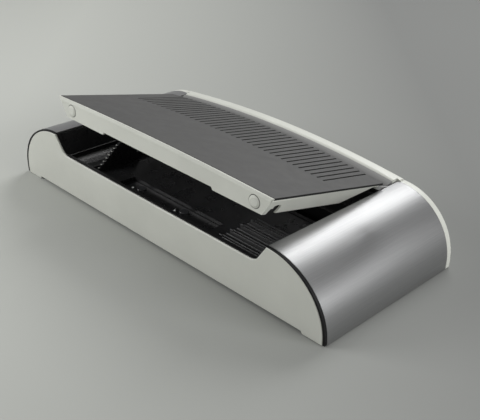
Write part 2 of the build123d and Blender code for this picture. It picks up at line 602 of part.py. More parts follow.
# ---------------------------------------------------------------- heater
PLATE_BOTTOM = SLOT_FLOOR - PLATE_THICKNESS
PLATE_FRONT = SLOT_FRONT + GAP
PLATE_REAR = SLOT_REAR - GAP
with BuildPart() as heating_plate:
    edge_top = SLOT_FLOOR + PLATE_EDGE
    with BuildSketch(at_x(-SLOT_LENGTH / 2 + GAP)):
        outline([(PLATE_FRONT, PLATE_BOTTOM), (PLATE_REAR, PLATE_BOTTOM), (PLATE_REAR, edge_top),
                 (PLATE_REAR - PLATE_EDGE, edge_top), (PLATE_REAR - PLATE_EDGE - 2, SLOT_FLOOR),
                 (PLATE_FRONT + PLATE_EDGE + 2, SLOT_FLOOR), (PLATE_FRONT + PLATE_EDGE, edge_top),
                 (PLATE_FRONT, edge_top)])
    extrude(amount=SLOT_LENGTH - 2 * GAP)

ELEMENT_THICKNESS = 1.2
INSULATOR_THICKNESS = 2.2
TAB_YS = (SLOT_FRONT + 10.0, SLOT_FRONT + 18.0)
TAB_END = -SLOT_LENGTH / 2 - SLOT_WALL - 4.0
with BuildPart() as heater_element:
    element_bottom = PLATE_BOTTOM - ELEMENT_THICKNESS
    block((-SLOT_LENGTH / 2 + 5, SLOT_LENGTH / 2 - 5), (PLATE_FRONT + 3, PLATE_REAR - 3),
          (element_bottom, PLATE_BOTTOM))
    for tab_y in TAB_YS:
        block((TAB_END, 0), (tab_y - 2, tab_y + 2), (element_bottom, PLATE_BOTTOM))
with BuildPart() as heater_insulator:
    insulator_bottom = element_bottom - INSULATOR_THICKNESS
    block((-SLOT_LENGTH / 2 + 3, SLOT_LENGTH / 2 - 3), (PLATE_FRONT + 1, PLATE_REAR - 1),
          (insulator_bottom, element_bottom))
with BuildPart() as heater_brackets:
    flat = TRAY_TOP + 1.2
    for bracket_x in (-130.0, 0.0, 130.0):
        with BuildSketch(at_x(bracket_x - 7)):
            outline([(SLOT_FRONT - 12, TRAY_TOP), (SLOT_FRONT - 12, flat), (SLOT_FRONT - 3, flat),
                     (SLOT_FRONT - 1, insulator_bottom), (SLOT_REAR + 1, insulator_bottom),
                     (SLOT_REAR + 3, flat), (SLOT_REAR + 12, flat), (SLOT_REAR + 12, TRAY_TOP),
                     (SLOT_REAR + 2, TRAY_TOP), (SLOT_REAR, insulator_bottom - 1.2),
                     (SLOT_FRONT, insulator_bottom - 1.2), (SLOT_FRONT - 2, TRAY_TOP)])
        extrude(amount=14.0)

# ---------------------------------------------------------------- controls
STRIP_THICKNESS = 1.2
STRIP_TOP = TROUGH_FLOOR + STRIP_THICKNESS
with BuildPart() as control_strip:
    block((TROUGH[0] + 1, TROUGH[1] - 1), (WELL_FRONT + 1, TROUGH[2] - 1), (TROUGH_FLOOR, STRIP_TOP))
    chamfer(control_strip.edges().filter_by(Axis.Z), 2.0)
    with Locations(*[(x, BUTTON_Y, TROUGH_FLOOR) for x in BUTTON_XS]):
        Cylinder(BUTTON_RADIUS + BUTTON_GAP, 4.0, mode=Mode.SUBTRACT)
    with Locations(*[(x, y, TROUGH_FLOOR) for x, y in LENS_SPOTS]):
        Cylinder(LENS_RADIUS, 4.0, mode=Mode.SUBTRACT)

BUTTON_TOP = TROUGH_FLOOR + 3.2
SWITCH_TOP = TROUGH_FLOOR - 5.0
BUTTON_SPOTS = [(x, BUTTON_Y) for x in BUTTON_XS]
with BuildPart() as indicator_lenses:
    upright(LENS_SPOTS, LENS_RADIUS - 0.02, (TROUGH_FLOOR - LINER, STRIP_TOP + 0.8))
    chamfer(indicator_lenses.edges().group_by(Axis.Z)[-1], 0.5)


def push_button(x):
    """Domed cap on a collar that stays under the liner, with a stem down to its switch."""
    under = TROUGH_FLOOR - LINER
    upright([(x, BUTTON_Y)], BUTTON_RADIUS, (under - 0.1, BUTTON_TOP))
    chamfer(edges().group_by(Axis.Z)[-1], 0.5)
    upright([(x, BUTTON_Y)], 2.0, (SWITCH_TOP + BUTTON_TRAVEL + 0.05, under), sides=8)


with BuildPart() as standby_button:
    push_button(BUTTON_XS[0])
with BuildPart() as start_button:
    push_button(BUTTON_XS[1])

SWITCH_BOARD_TOP = TROUGH_FLOOR - 9.4
BOARD = 1.6                    # circuit boards
with BuildPart() as switch_board:
    board_xs = (BUTTON_XS[0] - 30, BUTTON_XS[1] + 22)
    block(board_xs, (BUTTON_Y - 18, BUTTON_Y + 10), (SWITCH_BOARD_TOP - BOARD, SWITCH_BOARD_TOP))
    # posts up to the liner
    upright([(board_xs[0] + 4, BUTTON_Y - 4), (board_xs[1] - 4, BUTTON_Y - 4)], 2.5,
            (SWITCH_BOARD_TOP, TROUGH_FLOOR - LINER), sides=6)
with BuildPart() as tact_switches:
    with Locations(*[(x, BUTTON_Y, SWITCH_BOARD_TOP) for x in BUTTON_XS]):
        Box(6, 6, 3.2, align=(Align.CENTER, Align.CENTER, Align.MIN))
    upright(BUTTON_SPOTS, 1.7, (SWITCH_BOARD_TOP, SWITCH_TOP), sides=8)
with BuildPart() as light_pipes:
    upright(LENS_SPOTS, 1.4, (SWITCH_BOARD_TOP, TROUGH_FLOOR - LINER), sides=6)

# ---------------------------------------------------------------- electronics
BOARD_Z = 16.0
BOARD_TOP = BOARD_Z + BOARD
BOARD_X = -HALF + 46.5         # middle of the control board
BOARD_Y = REAR_Y - 130.0
CONNECTOR = (BOARD_X - 3, BOARD_Y + 52, 26.0, 10.0)   # place and size of the leads' connector
with BuildPart() as control_board:
    with Locations((BOARD_X, BOARD_Y, BOARD_Z)):
        Box(62, 120, BOARD, align=(Align.CENTER, Align.CENTER, Align.MIN))
    upright([(BOARD_X + dx, BOARD_Y + dy) for dx in (-26, 26) for dy in (-55, 55)], 3.0,
            (TRAY_TOP, BOARD_Z), sides=6)


def on_board(dx, dy, size):
    """Component that stands on the control board at a place measured from its middle."""
    with Locations((BOARD_X + dx, BOARD_Y + dy, BOARD_TOP)):
        Box(*size, align=(Align.CENTER, Align.CENTER, Align.MIN))


with BuildPart() as board_components:
    on_board(-13, -38, (24, 28, 20))    # transformer
    upright([(BOARD_X + 14, BOARD_Y - 42)], 6.0, (BOARD_TOP, BOARD_TOP + 16.0))   # capacitor
    on_board(13, -20, (18, 9, 12))      # filter
    on_board(-13, 14, (20, 14, 15))     # relay
    on_board(14, 10, (10, 22, 2.6))     # controller
    on_board(CONNECTOR[0] - BOARD_X, CONNECTOR[1] - BOARD_Y, (*CONNECTOR[2:], 9))
with BuildPart() as heat_sink:
    sink_top = BOARD_TOP + 28.4
    block((BOARD_X - 28, BOARD_X - 3), (BOARD_Y + 30, BOARD_Y + 33), (BOARD_TOP, sink_top))
    for fin in range(5):
        fin_x = BOARD_X - 27.2 + fin * 5.6
        block((fin_x - 0.8, fin_x + 0.8), (BOARD_Y + 32.5, BOARD_Y + 41), (BOARD_TOP + 2.4, sink_top))
with BuildPart() as buzzer:
    upright([(BOARD_X + 16, BOARD_Y + 34)], 6.5, (BOARD_TOP, BOARD_TOP + 8.0))
    with Locations((BOARD_X + 16, BOARD_Y + 34, BOARD_TOP + 8.0)):
        Cylinder(1.2, 4.0, mode=Mode.SUBTRACT)
with BuildPart() as thermal_cutout:
    channel_front = SLOT_FRONT - SLOT_WALL + GAP
    block((82, 100), (channel_front - 7, channel_front), (SLOT_FLOOR, SLOT_FLOOR + 9))


def socket_body(x, size, depth):
    """Moulded body with a bezel that lies flush in the rear panel."""
    with BuildSketch(at_y(REAR_Y)) as bezel:
        with Locations((x, SOCKET_Z)):
            Rectangle(size[0] + 2 * BEZEL_BORDER, size[1] + 2 * BEZEL_BORDER)
    extrude(bezel.sketch, amount=BEZEL)
    block((x - size[0] / 2 + 0.2, x + size[0] / 2 - 0.2), (REAR_Y - depth, REAR_Y - 0.5),
          (SOCKET_Z - size[1] / 2 + 0.2, SOCKET_Z + size[1] / 2 - 0.2))


INLET_DEPTH = 22.0
SHROUD_DEPTH = 16.0
with BuildPart() as power_inlet:
    socket_body(INLET_X, INLET_SIZE, INLET_DEPTH)
    with BuildSketch(at_y(REAR_Y)):
        outline([(INLET_X - 12, SOCKET_Z - 8.2), (INLET_X + 12, SOCKET_Z - 8.2),
                 (INLET_X + 12, SOCKET_Z + 4.0), (INLET_X + 7.5, SOCKET_Z + 8.2),
                 (INLET_X - 7.5, SOCKET_Z + 8.2), (INLET_X - 12, SOCKET_Z + 4.0)])
    extrude(amount=SHROUD_DEPTH, mode=Mode.SUBTRACT)
with BuildPart() as inlet_pins:
    with BuildSketch(at_y(REAR_Y - SHROUD_DEPTH + 11)):
        with Locations(*[(INLET_X + dx, SOCKET_Z + dz) for dx, dz in ((-7, -2), (7, -2), (0, 2))]):
            Rectangle(2, 4)
    extrude(amount=11)
    chamfer(inlet_pins.edges().group_by(Axis.Y)[-1], 0.5)

ROCKER_PIVOT_Y = REAR_Y - 4.0
ROCKER_TILT = 10.0
ROCKER_HALF = 7.0
SWITCH_DEPTH = 16.0
TRUNNION_RADIUS = 1.2
TRUNNION_REACH = 6.0
with BuildPart() as switch_body:
    socket_body(SWITCH_X, SWITCH_SIZE, SWITCH_DEPTH)
    block((SWITCH_X - 8.0, SWITCH_X + 8.0), (REAR_Y - 9.5, REAR_Y + 1), (SOCKET_Z - 5, SOCKET_Z + 5),
          mode=Mode.SUBTRACT)
    with Locations((SWITCH_X, ROCKER_PIVOT_Y, SOCKET_Z)):
        Cylinder(TRUNNION_RADIUS + 0.1, SWITCH_SIZE[1], mode=Mode.SUBTRACT)
    # terminals
    for tab_x in (-5.0, 5.0):
        block((SWITCH_X + tab_x - 0.4, SWITCH_X + tab_x + 0.4),
              (REAR_Y - SWITCH_DEPTH - 8, REAR_Y - SWITCH_DEPTH + 0.5), (SOCKET_Z - 2.4, SOCKET_Z + 2.4))
with BuildPart() as power_rocker:
    # two paddles that meet in a shallow V, pivoting on the Z axis through the origin
    with BuildSketch(Plane.XY.offset(SOCKET_Z - 4.8)):
        with BuildLine():
            Polyline((-ROCKER_HALF, 3.4), (0, 2.0), (ROCKER_HALF, 3.4), (ROCKER_HALF - 0.8, -1.2),
                     (2.4, -3.4), (-2.4, -3.4), (-ROCKER_HALF + 0.8, -1.2), close=True)
        make_face()
    extrude(amount=9.6)
    with Locations((0, 0, SOCKET_Z)):
        Cylinder(TRUNNION_RADIUS, 2 * TRUNNION_REACH)
ROCKER_AXIS = Axis((SWITCH_X, ROCKER_PIVOT_Y, SOCKET_Z), (0, 0, 1))

# leads run in straight lengths joined by easy bends


def lead(points, radius, bend):
    """Lead swept along straight runs with one bend radius."""
    with BuildLine() as path:
        FilletPolyline(*points, radius=bend)
    with BuildSketch(Plane(origin=path.line @ 0, z_dir=path.line % 0)) as section:
        RegularPolygon(radius, 6)
    sweep(section.sketch, path=path.line)


LEAD_Z = BOARD_TOP + 4.4       # where leads enter the connector
with BuildPart() as mains_leads:
    inlet_back = REAR_Y - INLET_DEPTH
    connector_rear = CONNECTOR[1] + CONNECTOR[3] / 2
    lead([(INLET_X - 6, inlet_back, SOCKET_Z), (INLET_X - 6, inlet_back - 14, SOCKET_Z),
          (CONNECTOR[0], inlet_back - 28, LEAD_Z), (CONNECTOR[0], connector_rear, LEAD_Z)], 1.5, 5.0)
    lead([(INLET_X + 6, inlet_back, SOCKET_Z), (INLET_X + 6, inlet_back - 14, SOCKET_Z),
          (SWITCH_X - 5, inlet_back - 14, SOCKET_Z),
          (SWITCH_X - 5, REAR_Y - SWITCH_DEPTH - 8, SOCKET_Z)], 1.5, 5.0)
with BuildPart() as heater_leads:
    lead_z = PLATE_BOTTOM - ELEMENT_THICKNESS / 2
    connector_right = CONNECTOR[0] + CONNECTOR[2] / 2
    for run, tab_y in enumerate(TAB_YS):
        start_y = CONNECTOR[1] - 2.5 + 5 * run
        lead([(connector_right, start_y, LEAD_Z), (connector_right + 25, start_y, LEAD_Z),
              (TAB_END - 15.4, tab_y, lead_z), (TAB_END, tab_y, lead_z)], 1.0, 4.0)

# ---------------------------------------------------------------- hinge
BRACKET_X = WELL_TOP_HALF + 0.7
BRACKET_SHEET = 2.2


def hinge_bracket(side):
    """Steel angle from the base tray up to the lid's pin."""
    inner, outer = BRACKET_X, BRACKET_X + BRACKET_SHEET
    with BuildSketch(at_x(side * inner)) as web:
        outline([(HINGE_Y - 9, TRAY_TOP), (HINGE_Y + 9, TRAY_TOP), (HINGE_Y + 7.5, HINGE_Z),
                 (HINGE_Y - 7.5, HINGE_Z)])
        with Locations((HINGE_Y, HINGE_Z)):
            Circle(7.6)
            Circle(PIN_RADIUS + PIN_CLEARANCE, mode=Mode.SUBTRACT)
    extrude(web.sketch, amount=side * BRACKET_SHEET)
    block(sorted((side * inner, side * (outer + 16))), (HINGE_Y - 9, HINGE_Y + 9),
          (TRAY_TOP, TRAY_TOP + BRACKET_SHEET))
    block(sorted((side * outer, side * (outer + 5))), (HINGE_Y - 1, HINGE_Y + 1),
          (TRAY_TOP, HINGE_Z - 14))


with BuildPart() as left_hinge_bracket:
    hinge_bracket(-1)
with BuildPart() as right_hinge_bracket:
    hinge_bracket(1)

with BuildPart() as bracket_screws:
    spot_x = BRACKET_X + BRACKET_SHEET + 10
    spots = [(x, HINGE_Y + dy) for x in (-spot_x, spot_x) for dy in (-4.5, 4.5)]
    upright(spots, 3.0, (TRAY_TOP + BRACKET_SHEET, TRAY_TOP + BRACKET_SHEET + 2.0), sides=6)

with BuildPart() as hinge_pins:
    for side in (-1, 1):
        head = BRACKET_X + BRACKET_SHEET + GAP
        with BuildSketch(at_x(side * ARM_INNER)):
            with Locations((HINGE_Y, HINGE_Z)):
                Circle(PIN_RADIUS)
        extrude(amount=side * (head - ARM_INNER + 0.5))
        with BuildSketch(at_x(side * head)):
            with Locations((HINGE_Y, HINGE_Z)):
                Circle(PIN_RADIUS + 1.8)
        extrude(amount=side * 1.6)
with BuildPart() as friction_washers:
    for side in (-1, 1):
        with BuildSketch(at_x(side * (ARM_OUTER + 0.05))):
            with Locations((HINGE_Y, HINGE_Z)):
                Circle(5.6)
                Circle(PIN_RADIUS + PIN_CLEARANCE, mode=Mode.SUBTRACT)
        extrude(amount=side * (BRACKET_X - ARM_OUTER - 0.1))

# ---------------------------------------------------------------- lid, drawn shut
LID_HALF = well_half(SHOULDER_HEIGHT) - LID_GAP
LID_SHOULDER = SHOULDER_HEIGHT - 1.6    # lid's top edge at its front corners
LIP_OVERLAP = 0.4
LID_ROOF = CROWN_HEIGHT + 1.5           # above the whole lid


def lid_top(x, y, drop=0.0):
    """Height of the shut lid's top surface, lowered by a drop."""
    front = LID_SHOULDER + FRONT_ARCH_RISE * (1 - (x / LID_HALF) ** 2)
    rear = rear_arch(x, CROWN_HEIGHT - HINGE_COVER_DROP)
    share = (y - LID_FRONT) / (CROWN_FRONT - LID_FRONT)
    return front + (rear - front) * share - drop


def lid_section(y, half, drop, upper=0.0, top=None, lean=0.0):
    """Slice of the lid at one Y: from the lowered top surface, shorter by a lean at each end,
    up to a less lowered one or up to a flat limit."""
    def arc(lowered, reach):
        return [(x, lid_top(x, y, lowered)) for x in (-reach, 0, reach)]

    low, high = arc(drop, half - lean), arc(upper, half)
    with BuildSketch(at_y(y)) as section:
        with BuildLine() as path:
            ThreePointArc(*low)
            if top is None:
                ThreePointArc(*high)
                Line(low[0], high[0])
                Line(low[2], high[2])
            else:
                Polyline(low[0], (-half, top), (half, top), low[2])
        make_face(path.edges())
    return section.sketch.face()


def lid_sheet(y_front, y_rear, half, drop, upper=0.0, taper=0.0):
    """Bowed sheet under the lid's top surface between two Y limits."""
    loft([lid_section(y_rear, half, drop, upper),
          lid_section(y_front, half - taper, drop, upper)], ruled=True)


def cut_above(drop, y_front, y_rear):
    """Cut away everything above the lowered top surface between two Y limits."""
    loft([lid_section(y, LID_HALF + 20, drop, top=LID_ROOF + 30) for y in (y_rear, y_front)],
         ruled=True, mode=Mode.SUBTRACT)


def pan(inset, bottom, mode=Mode.ADD):
    """Tapered block of the lid's lip and skirts, inset by a wall."""
    faces = []
    for z in (bottom, LID_ROOF):
        half = well_half(z) - LID_GAP - inset
        front = LID_FRONT + LIP_RAKE * (SHOULDER_HEIGHT - z) + inset * 1.05
        with BuildSketch(Plane.XY.offset(z)) as section:
            outline([(-half, front), (half, front), (half, PAN_REAR), (-half, PAN_REAR)])
        faces.append(section.sketch.face())
    loft(faces, ruled=True, mode=mode)


CAP_X = LID_HALF - CAP_INSET
CAP_Z = SHOULDER_HEIGHT - CAP_DROP
CAP_PLACE_Y = LID_FRONT + LIP_RAKE * CAP_DROP
LIP_NORMAL = Vector(0, -1, -LIP_RAKE).normalized()


def on_lip(x, proud):
    """Plane on the lip's outer face at a cap, raised along its normal."""
    return Plane(origin=(x, CAP_PLACE_Y, CAP_Z), x_dir=(1, 0, 0), z_dir=LIP_NORMAL).offset(proud)


PANEL_FRONT = LID_FRONT + LIP_WALL + 0.2
PANEL_HALF = LID_HALF + 0.8
PAN_REAR = LID_REAR - 4.0
FLANGE_DROP = LID_PANEL + 2.2
VENT_REAR = LID_REAR - 2.0
with BuildPart() as lid_panel:
    lid_sheet(PANEL_FRONT, LID_REAR, PANEL_HALF, LID_PANEL, taper=2.4)
    with BuildSketch(Plane.XY.offset(LID_ROOF)):
        with Locations((0, VENT_REAR - VENT_LENGTH / 2)):
            with GridLocations(VENT_PITCH, 1.0, VENT_COUNT, 1):
                Rectangle(VENT_WIDTH, VENT_LENGTH)
    extrude(amount=-30, mode=Mode.SUBTRACT)

FLANGE_WIDTH = 12.0
SEAT = 0.05                    # the panel lies this far above the flange
BAND_DEPTH = 4.0               # band along the top of the lip
BAND_PROUD = 0.3
POST_Y = LID_FRONT + 19.7      # catch posts behind the lip's corners
NOTCH_WIDTH = 15.0
NOTCH_HEIGHT = 12.5
SKIRT_STRAIGHT = LID_REAR - 56.0   # the skirts rise towards the hinge behind this Y
TAB_FRONT = PAN_REAR - 8.0     # hinge arms' tabs under the flange
TAB_Z = lid_top(LID_HALF - 3.0, TAB_FRONT, FLANGE_DROP) - 0.1
RECESS_HALF = 96.0
RECESS_DEPTH = 3.2
with BuildPart() as lid_frame:
    pan(0.0, LIP_BOTTOM)
    pan(LIP_WALL, LIP_BOTTOM - 1, mode=Mode.SUBTRACT)
    # the flange that carries the lid panel
    lid_sheet(LID_FRONT + 1.5, PAN_REAR, LID_HALF - 3.0, FLANGE_DROP, upper=-1.0)
    # a band stands proud along the top of the lip
    band_drop = LIP_OVERLAP + BAND_DEPTH
    extrude(lid_section(LID_FRONT + 1.0, LID_HALF - 0.2, band_drop, upper=-2.0,
                        lean=WELL_SLANT * (band_drop + 2.0)), amount=1.0 + BAND_PROUD)
    block((-LID_HALF + FLANGE_WIDTH, LID_HALF - FLANGE_WIDTH),
          (LID_FRONT + FLANGE_WIDTH, LID_REAR - 12), (LIP_BOTTOM + 9, LID_ROOF + 1),
          mode=Mode.SUBTRACT)
    cut_above(LID_PANEL + SEAT, LID_FRONT + LIP_WALL, LID_REAR + 5)
    extrude(lid_section(LID_FRONT + LIP_WALL + 0.1, LID_HALF + 20, LIP_OVERLAP, top=LID_ROOF + 30),
            amount=10.0, mode=Mode.SUBTRACT)
    # skirts rise towards the hinge
    with BuildSketch(at_x(-HALF)):
        outline([(SKIRT_STRAIGHT, LIP_BOTTOM - 1), (TAB_FRONT, TAB_Z), (LID_REAR + 5, TAB_Z),
                 (LID_REAR + 5, LIP_BOTTOM - 1)])
    extrude(amount=WIDTH, mode=Mode.SUBTRACT)
    # the skirts are notched beside the catch posts
    with BuildSketch(at_x(-HALF)):
        with Locations((POST_Y, LIP_BOTTOM)):
            SlotOverall(2 * NOTCH_HEIGHT + 1, NOTCH_WIDTH, rotation=90)
    extrude(amount=WIDTH, mode=Mode.SUBTRACT)
    # shallow finger recess in the lip's lower edge
    with BuildSketch(at_y(LID_FRONT + 20)):
        outline([(-RECESS_HALF, LIP_BOTTOM - 1), (-RECESS_HALF + 3, LIP_BOTTOM + RECESS_DEPTH),
                 (RECESS_HALF - 3, LIP_BOTTOM + RECESS_DEPTH), (RECESS_HALF, LIP_BOTTOM - 1)])
    extrude(amount=30, mode=Mode.SUBTRACT)
    # shallow round recesses for the caps
    for cap_x in (-CAP_X, CAP_X):
        with BuildSketch(on_lip(cap_x, 1.0)):
            Circle(CAP_RADIUS + CAP_RECESS)
        extrude(amount=-1.0 - CAP_RECESS, mode=Mode.SUBTRACT)

with BuildPart() as hinge_arms:
    for side in (-1, 1):
        with BuildSketch(at_x(side * ARM_INNER)):
            outline([(TAB_FRONT, TAB_Z - ARM_THICKNESS), (HINGE_Y - 5, HINGE_Z - 4.2),
                     (HINGE_Y, HINGE_Z), (HINGE_Y - 2, HINGE_Z + 6.0), (PAN_REAR, TAB_Z),
                     (TAB_FRONT, TAB_Z)])
            with Locations((HINGE_Y, HINGE_Z)):
                Circle(ARM_RADIUS)
                Circle(PIN_RADIUS, mode=Mode.SUBTRACT)
        extrude(amount=side * ARM_THICKNESS)
        # tab under the lid frame's flange
        block(sorted((side * (ARM_INNER - FLANGE_WIDTH), side * ARM_OUTER)), (TAB_FRONT, PAN_REAR),
              (TAB_Z - ARM_THICKNESS, TAB_Z))

LINER_SHEET = 1.6
with BuildPart() as lid_liner:
    liner_half = LID_HALF - FLANGE_WIDTH - 1.0
    liner_rear = VENT_REAR - VENT_LENGTH - 5.0
    lid_sheet(LID_FRONT + FLANGE_WIDTH + 1, liner_rear, liner_half, FLANGE_DROP + LINER_SHEET,
              upper=FLANGE_DROP)

with BuildPart() as lip_caps:
    for cap_x in (-CAP_X, CAP_X):
        with BuildSketch(on_lip(cap_x, CAP_PROUD)):
            Circle(CAP_RADIUS)
        extrude(amount=-CAP_PROUD - CAP_RECESS)
    for rim in lip_caps.edges().filter_by(GeomType.CIRCLE).group_by(Axis.Y)[0]:
        chamfer(rim, 0.9, 2.4)

POST_X = LID_HALF - 18.3
POST_BOTTOM = LIP_BOTTOM + 5.3
POST_RADIUS = 4.0
with BuildPart() as catch_posts:
    post_top = lid_top(POST_X + POST_RADIUS, POST_Y, FLANGE_DROP + LINER_SHEET) - 0.1
    upright([(-POST_X, POST_Y), (POST_X, POST_Y)], POST_RADIUS, (POST_BOTTOM, post_top))
    chamfer(catch_posts.edges().group_by(Axis.Z)[0], 1.0)

STATIC = {
    "base_tray": base_tray, "rubber_feet": rubber_feet, "base_screws": base_screws,
    "front_panel": front_panel, "front_bulkhead": front_bulkhead,
    "left_end_cover": left_end_cover, "right_end_cover": right_end_cover,
    "rear_panel": rear_panel, "rear_crown": rear_crown, "hinge_cover": hinge_cover,
    "well_liner": well_liner, "storage_tray": storage_tray,
    "measuring_gauge": measuring_gauge, "cooling_rack": cooling_rack,
    "slot_channel": slot_channel, "heating_plate": heating_plate,
    "heater_element": heater_element, "heater_insulator": heater_insulator,
    "heater_brackets": heater_brackets, "control_strip": control_strip,
    "indicator_lenses": indicator_lenses, "standby_button": standby_button,
    "start_button": start_button, "switch_board": switch_board,
    "tact_switches": tact_switches, "light_pipes": light_pipes,
    "control_board": control_board, "board_components": board_components,
    "heat_sink": heat_sink, "buzzer": buzzer, "thermal_cutout": thermal_cutout,
    "power_inlet": power_inlet, "inlet_pins": inlet_pins, "switch_body": switch_body,
    "mains_leads": mains_leads, "heater_leads": heater_leads,
    "left_hinge_bracket": left_hinge_bracket, "right_hinge_bracket": right_hinge_bracket,
    "bracket_screws": bracket_screws,
}
LID = {
    "lid_panel": lid_panel, "lid_frame": lid_frame, "lid_liner": lid_liner,
    "lip_caps": lip_caps, "catch_posts": catch_posts, "hinge_pins": hinge_pins,
    "friction_washers": friction_washers, "hinge_arms": hinge_arms,
}

os.makedirs("parts", exist_ok=True)
for label, piece in STATIC.items():
    piece.part.label = label
    export_step(piece.part, f"parts/{label}.step")
for label, piece in LID.items():
    swung = piece.part.rotate(HINGE_AXIS, -LID_OPEN)
    swung.label = label
    export_step(swung, f"parts/{label}.step")
rocker = (Location((SWITCH_X, ROCKER_PIVOT_Y, 0)) * power_rocker.part).rotate(ROCKER_AXIS, ROCKER_TILT)
rocker.label = "power_rocker"
export_step(rocker, "parts/power_rocker.step")
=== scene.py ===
"""Looks of a desktop thermal binding machine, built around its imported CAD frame."""

import json
from math import cos, pi, radians, sin

import bmesh
import bpy
from mathutils import Matrix, Vector


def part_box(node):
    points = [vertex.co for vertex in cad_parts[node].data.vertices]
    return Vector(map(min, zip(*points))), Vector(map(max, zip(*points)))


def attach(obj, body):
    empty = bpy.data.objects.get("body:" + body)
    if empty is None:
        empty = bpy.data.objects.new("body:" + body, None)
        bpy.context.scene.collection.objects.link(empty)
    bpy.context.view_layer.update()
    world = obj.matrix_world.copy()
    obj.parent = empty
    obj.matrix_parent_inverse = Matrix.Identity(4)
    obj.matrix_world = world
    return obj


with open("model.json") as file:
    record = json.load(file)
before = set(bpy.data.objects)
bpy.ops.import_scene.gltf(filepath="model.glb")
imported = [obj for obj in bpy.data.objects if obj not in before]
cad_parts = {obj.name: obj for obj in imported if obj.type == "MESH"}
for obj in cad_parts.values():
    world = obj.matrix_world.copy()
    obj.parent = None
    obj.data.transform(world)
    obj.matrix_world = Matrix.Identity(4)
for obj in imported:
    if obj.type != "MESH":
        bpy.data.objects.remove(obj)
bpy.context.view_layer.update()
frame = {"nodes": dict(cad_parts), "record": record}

# ---------------------------------------------------------------- camera, in metres
CAMERA_PLACE = (0.66466, -0.67702, 0.52270)
CAMERA_YAW = radians(42.978)      # to the left of the machine's depth axis
CAMERA_PITCH = radians(28.368)    # below the horizon
CAMERA_ROLL = radians(3.213)
SENSOR_WIDTH = 36.0
LENS = 63.296

# ---------------------------------------------------------------- colours, linear
OFF_WHITE = (0.600, 0.610, 0.560)
CHARCOAL = (0.078, 0.078, 0.077)
# painted shade down the walls of the lid's slots
SLOT_WALL_PAINTED_SHADE = (0.008, 0.008, 0.008)
# painted light up the hollow of the hinge cover
PAINTED_COVE_LIGHT = (0.24, 0.24, 0.235)
JET = (0.0120, 0.0120, 0.0125)
BLACK = (0.008, 0.008, 0.0085)
BUTTON_BLACK = (0.030, 0.030, 0.032)
RUBBER_BLACK = (0.018, 0.018, 0.018)
COMPONENT_BLACK = (0.022, 0.022, 0.025)
GUNMETAL = (0.300, 0.302, 0.305)
ZINC = (0.560, 0.560, 0.550)
ALUMINIUM = (0.70, 0.70, 0.71)
BRASS = (0.62, 0.48, 0.22)
FOIL_AMBER = (0.42, 0.17, 0.025)
MINERAL_WOOL = (0.60, 0.57, 0.50)
BOARD_GREEN = (0.012, 0.11, 0.045)
LEAD_RED = (0.20, 0.035, 0.025)
NATURAL_NYLON = (0.66, 0.66, 0.60)
LENS_CLEAR = ((0.78, 0.80, 0.79), (0.86, 0.88, 0.87))
# the floor's colour goes from painted light to painted shade between these two
FLOOR_PAINTED_LIT = (0.47, 0.482, 0.452)
FLOOR_PAINTED_SHADE = (0.20, 0.205, 0.199)

# ---------------------------------------------------------------- surface, shared by the mouldings
MM = 0.001
CLOUDINESS = 0.04                 # share by which a moulding's colour varies
CLOUD_SCALE = 14.0                # clouds to the metre
GLOSS_SCALE = 60.0                # patches of duller and shinier surface to the metre
GLOSS_SPREAD = 0.05               # how far these part from the mean roughness
GRAIN_SCALE = 2600.0              # spark-eroded grains to the metre
GRAIN_DEPTH = 0.05 * MM

# ---------------------------------------------------------------- places and sizes, in metres
LIT_COVE_DEPTHS = (0.090, 0.1022)      # painted light makes the hinge cover lighter between these depths
SHADED_SLOT_FACING = (0.35, 0.75)        # faces that look up less than this are a slot's walls, and get painted shade

GAUGE_FIRST = 1.5 * MM            # lowest tread of the gauge above its foot
GAUGE_RISE = 3.3 * MM
GAUGE_RUN = 4.2 * MM
GAUGE_STEPS = 9
TREAD_MIDDLE = 1.7 * MM           # behind the tread's front edge
TICK_WIDTH = 2.6 * MM
TICK_DEPTH = 2.0 * MM
TICK_HEIGHT = 0.2 * MM
TICK_CORNER = 0.4 * MM

CAP_RADIUS = 7.2 * MM
# dark ring that stands in for painted shade in the recess round each lip cap
SHADE_RING_INNER = CAP_RADIUS + 0.02 * MM
SHADE_RING_OUTER = CAP_RADIUS + 0.75 * MM
SHADE_RING_THICK = 0.35 * MM
SHADE_RING_OVERLAP = 0.02 * MM          # the ring reaches this far behind the back of the cap

# pan head with a round socket: radius and height of each corner, from its foot inward
SCREW_HEAD = ((3.1 * MM, -0.2 * MM), (3.1 * MM, 0.5 * MM), (2.7 * MM, 1.2 * MM), (1.9 * MM, 1.6 * MM),
              (1.3 * MM, 1.65 * MM), (1.2 * MM, 0.5 * MM))
REAR_SCREWS = ((-0.235, 0.016), (0.235, 0.016), (-0.105, 0.068), (0.105, 0.068))

ROUND_SEGMENTS = 40               # sides of a turned piece
SMOOTH_BELOW = radians(32.0)      # two faces that meet at less than this shade as one
EASED_EDGES = {"measuring_gauge": 0.25 * MM, "slot_channel": 0.3 * MM, "storage_tray": 0.3 * MM}
EASE_ABOVE = radians(50.0)        # only edges sharper than this are eased
EASE_SEGMENTS = 2

# ---------------------------------------------------------------- studio, in metres and watts
FLOOR_HALF = 6.0
FLOOR_TURN = radians(43.0)        # painted shade darkens the floor in this direction
FLOOR_SPREAD = 1.43               # gradients to the metre
FLOOR_START = 0.5                 # share of the gradient that lies before the machine
LAMPS = {                         # place, target, width, height, power
    "key_rear_left": ((-0.45, 1.6, 1.7), (0.0, 0.0, 0.05), 1.3, 1.0, 27.0),
    "fill_front_left": ((-1.1, -1.2, 0.8), (-0.05, -0.1, 0.05), 0.9, 0.7, 17.0),
    "fill_right": ((1.9, 0.35, 0.8), (0.1, 0.0, 0.05), 1.0, 0.8, 22.0),
}
# brightness of the sky at heights from straight down (0) to straight up (1)
SKY = ((0.0, 0.45), (0.5, 0.50), (0.575, 0.48), (0.665, 0.26), (0.86, 0.26), (1.0, 0.60))
SKY_BLUE = 0.99                   # the blue of the sky against its red and green


